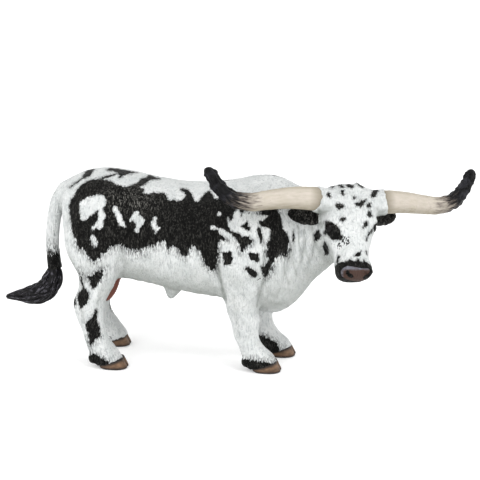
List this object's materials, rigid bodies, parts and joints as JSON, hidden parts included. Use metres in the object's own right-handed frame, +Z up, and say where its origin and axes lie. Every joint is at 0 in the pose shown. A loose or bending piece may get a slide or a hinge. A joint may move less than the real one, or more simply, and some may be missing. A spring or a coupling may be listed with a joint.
{
  "type": "moulded longhorn bull figurine",
  "caption": "Solid moulded plastic farm animal figurine of a longhorn bull, standing square with its head turned aside, long upswept horns and a swinging tail, hand painted.",
  "frame": {"origin": "floor level under the middle of the figure's bounding box", "axes": "+X from tail to chest, +Y to the animal's left, +Z up"},
  "size_m": [0.2188, 0.0632, 0.1001],
  "materials": {
    "coat": "satin white paint with black brushed patches over moulded hair relief",
    "black_hair": "black paint dry-brushed with grey over moulded locks",
    "horn": "cream paint with sprayed black tips, satin",
    "hoof": "dark brown paint, darker at the edges",
    "eye": "glossy black",
    "scrotum_skin": "dull reddish brown paint"
  },
  "bodies": {
    "root": {"torso": "coat", "neck": "coat", "head": "coat", "ear_right": "black_hair", "ear_left": "black_hair", "eye_right": "eye", "eye_left": "eye", "horn_right": "horn", "horn_left": "horn", "leg_hind_right": "coat", "leg_hind_left": "coat", "leg_fore_right": "coat", "leg_fore_left": "coat", "hoof_hind_right": "hoof", "hoof_hind_left": "hoof", "hoof_fore_right": "hoof", "hoof_fore_left": "hoof", "tail": "coat", "tail_switch": "black_hair", "scrotum": "scrotum_skin"}
  },
  "joints": []
}
